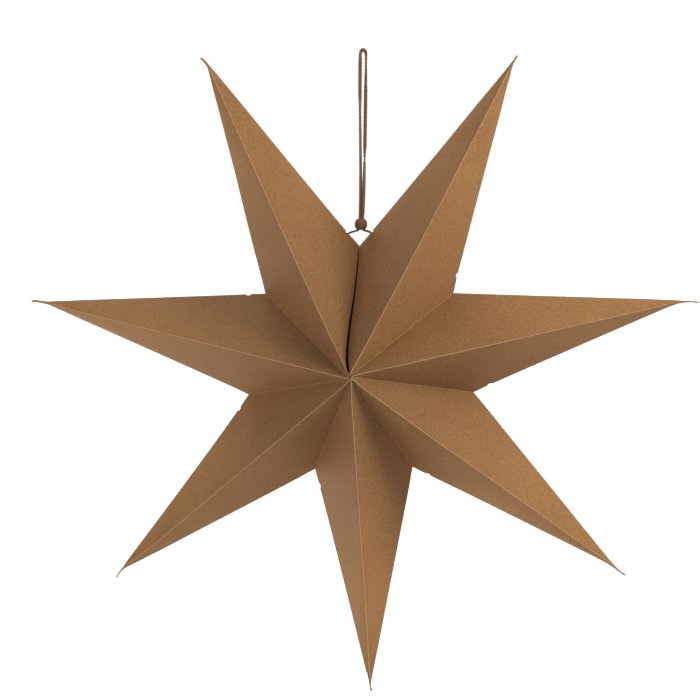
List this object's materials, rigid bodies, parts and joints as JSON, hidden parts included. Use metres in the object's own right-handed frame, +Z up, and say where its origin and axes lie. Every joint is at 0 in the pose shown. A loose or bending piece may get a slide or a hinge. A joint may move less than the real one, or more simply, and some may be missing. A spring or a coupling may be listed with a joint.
{
  "type": "hanging paper star",
  "caption": "Hanging folded star of hollow kraft card points glued in a fan, on a corded loop with a wooden bead.",
  "frame": {"origin": "inside of the cord loop's top bend, where a hook carries the star", "axes": "+X to the right seen from the front, -Y towards the viewer, +Z up; the star hangs in the XZ plane"},
  "size_m": [0.609, 0.188, 0.5938],
  "materials": {
    "kraft_card": "uncoated brown kraft card, matt, with fine fibres",
    "brown_wood": "turned bead, matt dark brown stain",
    "brown_cord": "flat braided cord, brown with paler flecks"
  },
  "bodies": {
    "root": {"paper_point_top_left": "kraft_card", "paper_point_left": "kraft_card", "paper_point_lower_left": "kraft_card", "paper_point_bottom": "kraft_card", "paper_point_lower_right": "kraft_card", "paper_point_right": "kraft_card", "paper_point_top_right": "kraft_card", "cord_bead": "brown_wood", "hanging_cord": "brown_cord"}
  },
  "joints": []
}
